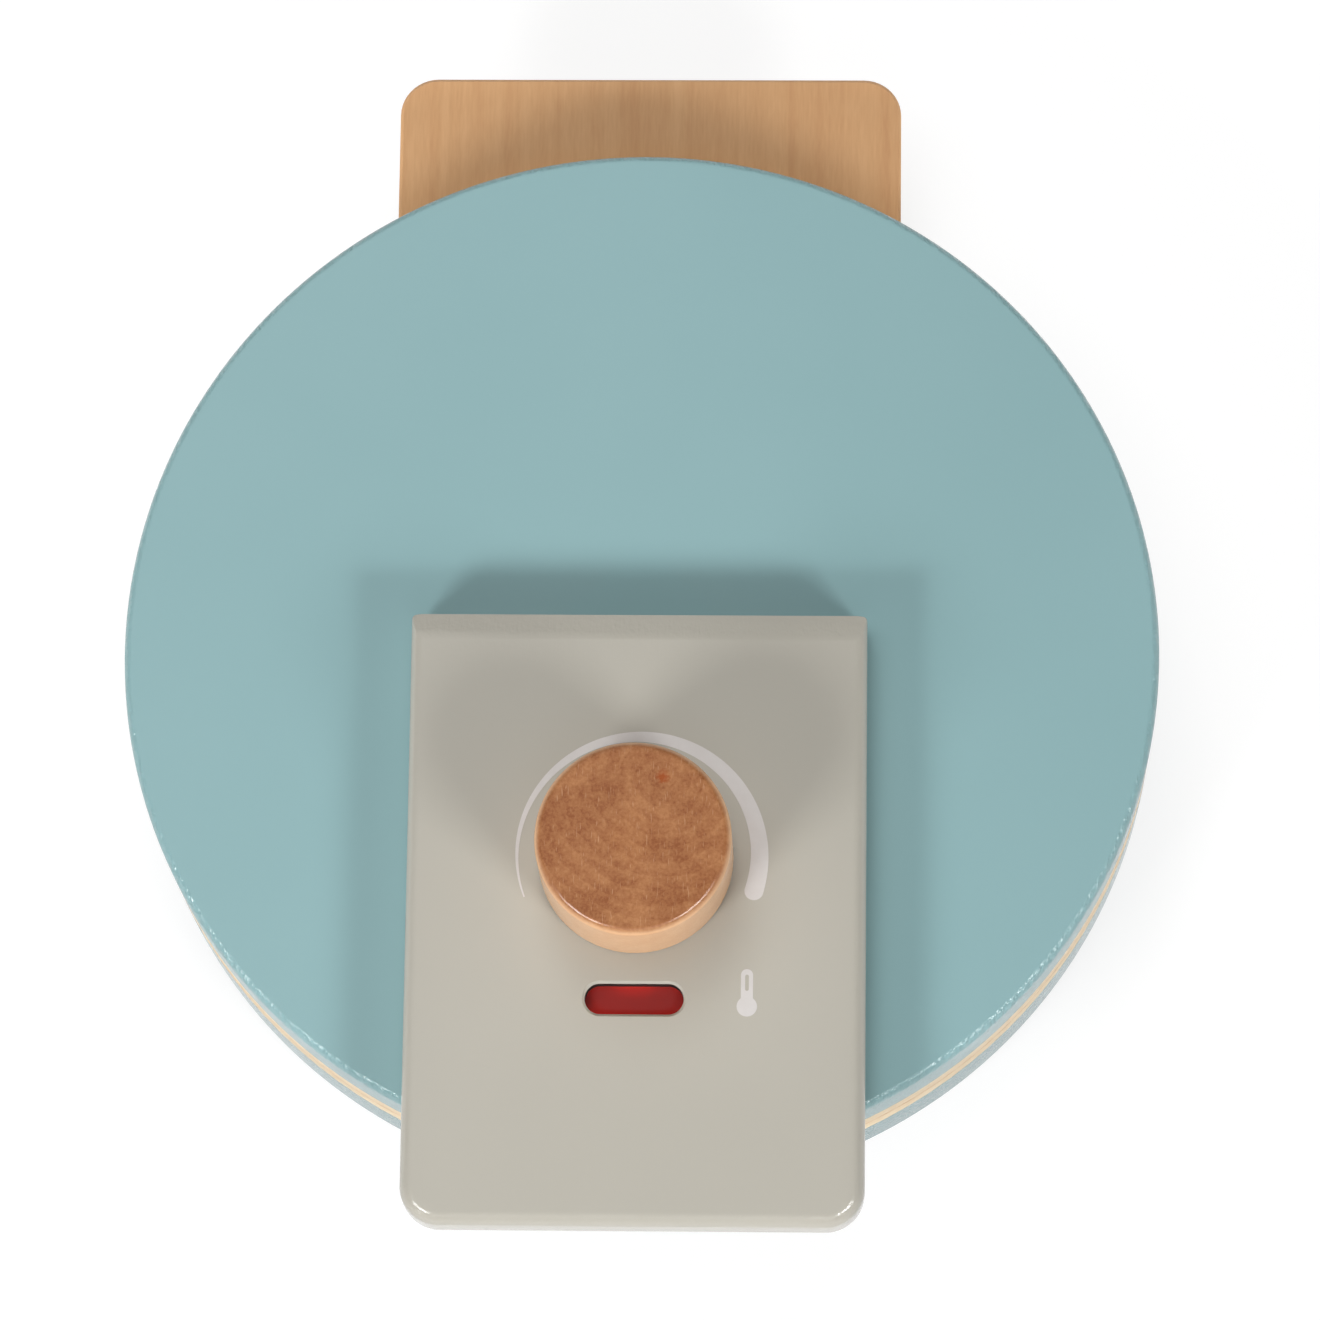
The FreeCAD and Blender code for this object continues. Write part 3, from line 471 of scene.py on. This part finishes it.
tube_half_width = mm(0.92)
tube_above_bulb = mm(5.75)
bore_length, bore_width = mm(2.5), mm(0.55)
bore_below_top = mm(2.1)
bulb_radius = mm(1.55)
bulb_steps, tube_steps = 32, 16
bulb = Vector((mm(17.05), knob_axis.y - mm(22.9), 0))
tube_top = bulb.y + tube_above_bulb
tube_end = Vector((bulb.x, tube_top - tube_half_width, 0))
neck = math.asin(tube_half_width / bulb_radius)
bulb_from, bulb_turn = math.pi / 2 + neck, 2 * math.pi - 2 * neck
outline = [around(bulb, bulb_radius, bulb_from + bulb_turn * step / bulb_steps)
           for step in range(bulb_steps + 1)]
outline += [around(tube_end, tube_half_width, math.pi * step / tube_steps)
            for step in range(tube_steps + 1)]
sign = bmesh.new()
sign.faces.new([sign.verts.new(corner) for corner in outline])
thermometer = printed("printed_thermometer", sign)
bore = long_hole(0, bore_length, bore_width, ink_bottom - past, ink_bottom + past)
bmesh.ops.rotate(bore, verts=bore.verts, cent=(0, 0, 0),
                 matrix=Matrix.Rotation(math.pi / 2, 3, "Z"))
bmesh.ops.translate(bore, verts=bore.verts, vec=(bulb.x, tube_top - bore_below_top, 0))
carve(thermometer, bore)


# Knob
# A turned beech knob with end grain on its top and a lightly eased edge, glued on a
# dowel that turns in the panel. Clear lacquer deepens the end grain to orange-brown.

def turned_end_grain(pith):
    """Beech cut across: uneven growth rings about the pith, a red-brown pith fleck, fine
    pores and pale sanding marks under clear lacquer, all deeper in colour than the sides."""
    material, tree = empty_material("clear_lacquered_beech_end_grain")
    place = add(tree, "ShaderNodeTexCoord").outputs["Object"]
    about_pith = add(tree, "ShaderNodeMapping", {
        "Vector": place, "Location": (-pith.x, -pith.y, 0), "Scale": (1, 1, 0)})
    rings = add(tree, "ShaderNodeTexWave", {
        "Vector": about_pith.outputs[0], "Scale": pattern(7), "Distortion": 3.0, "Detail": 5.0,
        "Detail Scale": 1.6}, wave_type="RINGS", rings_direction="Z", wave_profile="SAW")
    late_wood = add(tree, "ShaderNodeMapRange", {
        0: rings.outputs[1], 1: 0.1, 2: 0.95, 3: 1.0, 4: 0.0}, interpolation_type="SMOOTHSTEP")
    cloud = add(tree, "ShaderNodeTexNoise", {
        "Vector": place, "Scale": pattern(4), "Detail": 5.0, "Roughness": 0.65})
    pores = add(tree, "ShaderNodeTexNoise", {
        "Vector": place, "Scale": pattern(0.5), "Detail": 3.0, "Roughness": 0.7})
    broad = add(tree, "ShaderNodeMix", {0: 0.91, 2: late_wood.outputs[0], 3: cloud.outputs[0]})
    both = add(tree, "ShaderNodeMix", {0: 0.34, 2: broad.outputs[0], 3: pores.outputs[0]})
    top_tint = add(tree, "ShaderNodeValToRGB", {0: both.outputs[0]}, stops=[
        (0.0, linear("#7E4829")), (0.36, linear("#8D5635")), (0.64, linear("#B27B51")),
        (1.0, linear("#C48F66"))])
    across = add(tree, "ShaderNodeMapping", {
        "Vector": place, "Rotation": (0, 0, math.radians(35)),
        "Scale": (pattern(0.18), pattern(2.2), 1)})
    marks = add(tree, "ShaderNodeTexNoise", {
        "Vector": across.outputs[0], "Scale": 1.0, "Detail": 1.0})
    scratch = add(tree, "ShaderNodeMapRange", {0: marks.outputs[0], 1: 0.66, 2: 0.74, 4: 0.35})
    top_tint = add(tree, "ShaderNodeMix", {
        0: scratch.outputs[0], 6: top_tint.outputs[0], 7: linear("#DDB48C")}, data_type="RGBA")
    from_pith = add(tree, "ShaderNodeVectorMath", {0: about_pith.outputs[0]}, operation="LENGTH")
    ragged = add(tree, "ShaderNodeMath", {
        0: pores.outputs[0], 1: mm(1.6), 2: from_pith.outputs["Value"]}, operation="MULTIPLY_ADD")
    heart = add(tree, "ShaderNodeMapRange", {
        0: ragged.outputs[0], 1: mm(1.1), 2: mm(2.0), 3: 0.85, 4: 0.0})
    top_tint = add(tree, "ShaderNodeMix", {
        0: heart.outputs[0], 6: top_tint.outputs[2], 7: linear("#9C4A20")}, data_type="RGBA")
    side_tint = add(tree, "ShaderNodeValToRGB", {0: both.outputs[0]},
                    stops=[(0.0, linear("#CF9C70")), (1.0, linear("#E8BE95"))])
    normal = add(tree, "ShaderNodeTexCoord").outputs["Normal"]
    up = add(tree, "ShaderNodeSeparateXYZ", {0: normal}).outputs["Z"]
    facing = add(tree, "ShaderNodeMapRange", {0: up, 1: 0.45, 2: 0.95})
    tint = add(tree, "ShaderNodeMix", {
        0: facing.outputs[0], 6: side_tint.outputs[0], 7: top_tint.outputs[2]}, data_type="RGBA")
    bump = add(tree, "ShaderNodeBump", {
        "Height": pores.outputs[0], "Distance": mm(0.05), "Strength": 0.5})
    surface = add(tree, "ShaderNodeBsdfPrincipled", {
        "Base Color": tint.outputs[2], "Roughness": 0.2, "IOR": 1.45, "Normal": bump.outputs[0]})
    add(tree, "ShaderNodeOutputMaterial", {"Surface": surface.outputs[0]})
    return material


pith = knob_axis + Vector((mm(4.4), mm(9.3), 0))
knob_finish = turned_end_grain(pith)
knob_radius = mm(14.85)
knob_rounding = mm(1.3)
knob = round_board(knob_axis, knob_radius, knob_low.z, knob_high.z, knob_high.z, knob_rounding,
                   segments=192)
piece("knob_turned", knob, knob_finish, "knob_assembly", ["knob"])


# Dowels
# Plain beech dowels: one carries the knob and the colour wheel, two hold the block.

dowel_wood = clear_lacquered_wood("bare_beech_dowel", "#D9B68A", "#C39C70",
                                  "#D9B68A", "#C39C70", along=2)
finish_node("knob_dowel", dowel_wood)
finish_node("block_dowels", dowel_wood)


# Colour wheel
# A thin plywood wheel under the panel, painted red on one half and green on the other.
# The half that stands under the window shows whether the waffle iron is hot.

def two_colour_paint(centre, front, rear):
    """Satin enamel, parted along a line through the axis."""
    material, tree = empty_material("red_and_green_enamel")
    place = add(tree, "ShaderNodeTexCoord").outputs["Object"]
    about_axis = add(tree, "ShaderNodeMapping", {
        "Vector": place, "Location": (-centre.x, -centre.y, 0)})
    depth = add(tree, "ShaderNodeSeparateXYZ", {0: about_axis.outputs[0]}).outputs["Y"]
    side = add(tree, "ShaderNodeMath", {0: depth, 1: 0.0}, operation="GREATER_THAN")
    brushed = add(tree, "ShaderNodeTexNoise", {
        "Vector": place, "Scale": pattern(2.0), "Detail": 3.0})
    tint = add(tree, "ShaderNodeMix", {
        0: side.outputs[0], 6: linear(front), 7: linear(rear)}, data_type="RGBA")
    bump = add(tree, "ShaderNodeBump", {
        "Height": brushed.outputs[0], "Distance": mm(0.02), "Strength": 0.3})
    surface = add(tree, "ShaderNodeBsdfPrincipled", {
        "Base Color": tint.outputs[2], "Roughness": 0.6, "IOR": 1.35, "Normal": bump.outputs[0]})
    add(tree, "ShaderNodeOutputMaterial", {"Surface": surface.outputs[0]})
    return material


wheel_easing = mm(0.2)
screw_bore_radius = mm(1.3)
wheel = round_board(knob_axis, (wheel_high.x - wheel_low.x) / 2, wheel_low.z, wheel_high.z,
                    wheel_high.z, wheel_easing, segments=160)
enamel = two_colour_paint(knob_axis, "#DC2418", "#4F8F52")
colour_wheel = piece("colour_wheel_painted", wheel, enamel, "knob_assembly", ["colour_wheel"])
carve(colour_wheel,
      upright_bore(knob_axis, screw_bore_radius, wheel_low.z - past, wheel_high.z + past, 48))


# Felt, washer and screws
# What holds the toy together inside: a felt ring under the panel for a smooth turn, and
# zinc plated wood screws and a washer.

def pressed_felt():
    """Grey wool felt, a soft mat of fibres."""
    material, tree = empty_material("pressed_wool_felt")
    place = add(tree, "ShaderNodeTexCoord").outputs["Object"]
    fibres = add(tree, "ShaderNodeTexNoise", {
        "Vector": place, "Scale": pattern(0.3), "Detail": 5.0})
    tint = add(tree, "ShaderNodeValToRGB", {0: fibres.outputs[0]},
               stops=[(0.2, linear("#4A4846")), (0.8, linear("#6B6865"))])
    bump = add(tree, "ShaderNodeBump", {
        "Height": fibres.outputs[0], "Distance": mm(0.1), "Strength": 0.8})
    surface = add(tree, "ShaderNodeBsdfPrincipled", {
        "Base Color": tint.outputs[0], "Roughness": 0.95, "Sheen Weight": 0.3,
        "Normal": bump.outputs[0]})
    add(tree, "ShaderNodeOutputMaterial", {"Surface": surface.outputs[0]})
    return material


def plated_steel(name, colour, roughness):
    """Plated steel: clean metal with the faint cloudiness of barrel plating."""
    material, tree = empty_material(name)
    place = add(tree, "ShaderNodeTexCoord").outputs["Object"]
    cloud = add(tree, "ShaderNodeTexNoise", {
        "Vector": place, "Scale": pattern(1.2), "Detail": 3.0})
    shine = add(tree, "ShaderNodeMapRange", {
        0: cloud.outputs[0], 3: roughness - 0.06, 4: roughness + 0.08})
    bump = add(tree, "ShaderNodeBump", {
        "Height": cloud.outputs[0], "Distance": mm(0.01), "Strength": 0.3})
    surface = add(tree, "ShaderNodeBsdfPrincipled", {
        "Base Color": linear(colour), "Metallic": 1.0, "Roughness": shine.outputs[0],
        "Normal": bump.outputs[0]})
    add(tree, "ShaderNodeOutputMaterial", {"Surface": surface.outputs[0]})
    return material


# Shares in a screw: core and pitch of the shank, root of the thread of the core, recess of the
# head, and the slots of the recess.
core_share, pitch_share, root_share = 0.72, 0.8, 0.97
recess_share, slot_width_share, slot_depth_share = 0.62, 0.36, 1.6
head_steps, thread_steps = 32, 16


def wood_screws(name, node, spacing, head_profile, shank_radius, heads_up, body):
    """Turned screws with a rolled thread and a cross recess, side by side along x, in the
    place of a node; the head's profile is pairs of radius and depth below its top."""
    low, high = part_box(node)
    length = high.z - low.z
    core = shank_radius * core_share
    pitch = shank_radius * pitch_share
    recess = head_profile[-2][0] * recess_share
    recess_size = Matrix.Diagonal(
        (2 * recess, recess * slot_width_share, recess * slot_depth_share, 1))
    point = Vector(((low.x + high.x) / 2, (low.y + high.y) / 2, high.z if heads_up else low.z))
    way = 1 if heads_up else -1
    places = [point + Vector((side * spacing / 2, 0, 0)) for side in ((-1, 1) if spacing else (0,))]
    outline = head_profile + [
        (core, head_profile[-1][1] + mm(0.1)), (core, length - 2 * core), (0, length)]
    thread_top = head_profile[-1][1] + pitch
    turns = int((length - 2.5 * core - thread_top) / pitch)
    root = core * root_share
    crest = [(root, 0), (shank_radius, pitch * 0.25), (root, pitch * 0.5)]
    screws = bmesh.new()
    slots = [bmesh.new(), bmesh.new()]
    threads = bmesh.new()
    for place in places:
        corners = [screws.verts.new(place + Vector((radius, 0, -way * depth)))
                   for radius, depth in outline]
        edges = [screws.edges.new(pair) for pair in zip(corners, corners[1:])]
        bmesh.ops.spin(screws, geom=corners + edges, cent=place, axis=(0, 0, 1), dvec=(0, 0, 0),
                       angle=2 * math.pi, steps=head_steps, use_merge=True)
        for slot, turn in zip(slots, (20, 110)):
            turned = Matrix.Translation(place) @ Matrix.Rotation(math.radians(turn), 4, "Z")
            made = bmesh.ops.create_cube(slot, size=1.0)["verts"]
            bmesh.ops.transform(slot, verts=made, matrix=turned @ recess_size)
        ridge = [threads.verts.new(place + Vector((radius, 0, -way * (thread_top + rise))))
                 for radius, rise in crest]
        edges = [threads.edges.new((ridge[at], ridge[at - 1])) for at in range(3)]
        bmesh.ops.spin(threads, geom=ridge + edges, cent=place, axis=(0, 0, 1),
                       dvec=(0, 0, -way * pitch / thread_steps), angle=2 * math.pi * turns,
                       steps=thread_steps * turns)
    bmesh.ops.remove_doubles(screws, verts=screws.verts, dist=1e-7)
    bmesh.ops.recalc_face_normals(screws, faces=screws.faces)
    made = piece(name, screws, zinc, body, [node])
    for slot in slots:
        carve(made, slot)
    bmesh.ops.holes_fill(threads, edges=threads.edges, sides=3)
    bmesh.ops.recalc_face_normals(threads, faces=threads.faces)
    threads.from_mesh(made.data)
    threads.to_mesh(made.data)
    threads.free()
    for face in made.data.polygons:
        face.use_smooth = True
    made.data.set_sharp_from_angle(angle=sharp_angle)


def countersunk(head_radius, shank_radius):
    """The profile of a flat head that narrows at 45 degrees into the shank."""
    land = mm(0.1)
    core = shank_radius * core_share
    return [(0, 0), (head_radius - land, 0), (head_radius, land), (core, head_radius - core + land)]


finish_node("felt_washer", pressed_felt())
zinc = plated_steel("zinc_plated_steel", "#C9C8C4", 0.35)
finish_node("steel_washer", zinc)
thin_shank, thick_shank = mm(1.25), mm(1.75)
block_screw_head = mm(3.45)
block_screw_spacing = mm(56)
pan_radius, pan_height = mm(2.2), mm(1.6)
pan_head = [(0, 0), (pan_radius * 0.6, mm(0.02)), (pan_radius * 0.9, mm(0.25)),
            (pan_radius, mm(0.7)), (pan_radius, pan_height), (thin_shank * core_share, pan_height)]
wood_screws("wheel_screw_turned", "wheel_screw", 0, pan_head, thin_shank, False, "knob_assembly")
wood_screws("block_screws_turned", "block_screws", block_screw_spacing,
            countersunk(block_screw_head, thick_shank), thick_shank, False, "lid")


# Butt hinge
# A small stamped butt hinge of nickel plated steel, let into both plates at the rear and
# held by two countersunk screws on each side.

nickel = plated_steel("nickel_plated_steel", "#C8C3B8", 0.3)
for name in ("hinge_base_leaf", "hinge_lid_leaf", "hinge_pin"):
    finish_node(name, nickel)
hinge_head = countersunk(mm(2.15), thin_shank)
hinge_screw_spacing = mm(15)
wood_screws("base_hinge_screws_turned", "base_hinge_screws", hinge_screw_spacing, hinge_head,
            thin_shank, True, "base")
wood_screws("lid_hinge_screws_turned", "lid_hinge_screws", hinge_screw_spacing, hinge_head,
            thin_shank, False, "lid")


# Studio
# A white table and a white surround that darkens overhead, five softboxes, two more that
# show in reflections alone, as the gleam on the edges, and the camera above the handle.

def light_path(tree):
    """1 where the camera, a reflection or a view through glass meets the surface itself."""
    seen = add(tree, "ShaderNodeLightPath")
    direct = add(tree, "ShaderNodeMath", {
        0: seen.outputs["Is Camera Ray"], 1: seen.outputs["Is Glossy Ray"]}, operation="MAXIMUM")
    direct = add(tree, "ShaderNodeMath", {
        0: direct.outputs[0], 1: seen.outputs["Is Transmission Ray"]}, operation="MAXIMUM")
    return direct.outputs[0]


white, tree = empty_material("white_studio_table")
table_half_width = 3.0
near_glow, far_glow = 0.8, 1.0
fades_from, fades_to = 0.5, 2.0
diffuse = add(tree, "ShaderNodeBsdfDiffuse", {"Color": linear("#C4C4C4")})
shaded = add(tree, "ShaderNodeBsdfDiffuse", {"Color": linear("#8A8A8A")})
from_toy = add(tree, "ShaderNodeVectorMath", {
    0: add(tree, "ShaderNodeTexCoord").outputs["Object"]}, operation="LENGTH")
strength = add(tree, "ShaderNodeMapRange", {
    0: from_toy.outputs["Value"], 1: fades_from, 2: fades_to, 3: near_glow, 4: far_glow},
    interpolation_type="SMOOTHSTEP")
glow = add(tree, "ShaderNodeEmission", {
    "Color": linear("#FFFFFF"), "Strength": strength.outputs[0]})
lit = add(tree, "ShaderNodeAddShader", {0: shaded.outputs[0], 1: glow.outputs[0]})
table_face = add(tree, "ShaderNodeMixShader", {
    0: light_path(tree), 1: diffuse.outputs[0], 2: lit.outputs[0]})
add(tree, "ShaderNodeOutputMaterial", {"Surface": table_face.outputs[0]})
table = bmesh.new()
bmesh.ops.create_grid(table, x_segments=1, y_segments=1, size=table_half_width)
mesh = bpy.data.meshes.new("studio_table")
table.to_mesh(mesh)
table.free()
mesh.materials.append(white)
studio_table = bpy.data.objects.new("studio_table", mesh)
bpy.context.scene.collection.objects.link(studio_table)

world = bpy.data.worlds.new("white_surround")
bpy.context.scene.world = world
world.use_nodes = True
tree = world.node_tree
tree.nodes.clear()
dim = 0.05
darkens_from, darkens_to = 0.06, 0.4
direction = add(tree, "ShaderNodeTexCoord").outputs["Generated"]
height = add(tree, "ShaderNodeSeparateXYZ", {0: direction}).outputs["Z"]
sweep = add(tree, "ShaderNodeMapRange", {
    0: height, 1: darkens_from, 2: darkens_to, 3: 1.0, 4: dim}, interpolation_type="SMOOTHSTEP")
soft = add(tree, "ShaderNodeBackground", {"Color": linear("#FFFFFF"), "Strength": dim})
bright = add(tree, "ShaderNodeBackground", {
    "Color": linear("#FFFFFF"), "Strength": sweep.outputs[0]})
surround = add(tree, "ShaderNodeMixShader", {
    0: light_path(tree), 1: soft.outputs[0], 2: bright.outputs[0]})
add(tree, "ShaderNodeOutputWorld", {"Surface": surround.outputs[0]})


def towards(azimuth, elevation):
    """The way out from the toy; azimuth 0 is in front, positive to the right."""
    azimuth, elevation = math.radians(azimuth), math.radians(elevation)
    return Vector((math.sin(azimuth) * math.cos(elevation),
                   -math.cos(azimuth) * math.cos(elevation), math.sin(elevation)))


def softbox(name, azimuth, elevation, distance, width, height, power, reflected=True, fills=True):
    """A lamp that faces the toy. It may be kept out of the reflections, or show in them
    alone."""
    away = towards(azimuth, elevation)
    lamp = bpy.data.lights.new(name, "AREA")
    lamp.shape = "RECTANGLE"
    lamp.size = width
    lamp.size_y = height
    lamp.energy = power
    made = bpy.data.objects.new(name, lamp)
    made.location = away * distance
    made.rotation_euler = away.to_track_quat("Z", "Y").to_euler()
    made.visible_glossy = reflected
    made.visible_diffuse = fills
    bpy.context.scene.collection.objects.link(made)


softbox("softbox_left", -42, 26.5, 2.0, 0.57, 0.36, 26.5, reflected=False)
softbox("softbox_right", 45, 26.5, 3.0, 0.87, 0.54, 54, reflected=False)
softbox("softbox_front", 5, 52, 2.6, 0.9, 0.9, 3.5)
softbox("softbox_rear", -170, 50, 1.6, 0.6, 0.6, 5.1, reflected=False)
softbox("softbox_overhead", -135, 71, 0.7, 0.5, 0.5, 1.68, reflected=False)
softbox("glint_left", -48, 57, 2.0, 0.6, 0.4, 20, fills=False)
softbox("glint_right", 52, 57, 2.0, 0.6, 0.4, 20, fills=False)

camera_azimuth, camera_elevation, camera_roll = 8.0, 75.7, math.radians(0.77)
camera_distance = 1.0035
aim_right, aim_down = mm(3.0), mm(1.9)
sensor_width = 36
focal_length_in_pixels, frame_in_pixels = 6500, 1320
lid_centre = Vector((0, disc_centre.y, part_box("lid_disc")[1].z))
back = towards(camera_azimuth, camera_elevation)
right = Vector((0, 1, 0)).cross(back).normalized()
up = back.cross(right)
right, up = (right * math.cos(camera_roll) + up * math.sin(camera_roll),
             up * math.cos(camera_roll) - right * math.sin(camera_roll))
place = lid_centre + back * camera_distance
aim = lid_centre + right * aim_right - up * aim_down
back = (place - aim).normalized()
right = up.cross(back).normalized()
up = back.cross(right)
camera = bpy.data.cameras.new("camera")
camera.sensor_width = sensor_width
camera.lens = sensor_width * focal_length_in_pixels / frame_in_pixels
camera.clip_end = 10
camera_object = bpy.data.objects.new("camera", camera)
turned = Matrix((right, up, back)).transposed().to_4x4()
camera_object.matrix_world = Matrix.Translation(place) @ turned
bpy.context.scene.collection.objects.link(camera_object)
bpy.context.scene.camera = camera_object
bpy.context.scene.view_settings.view_transform = "Standard"
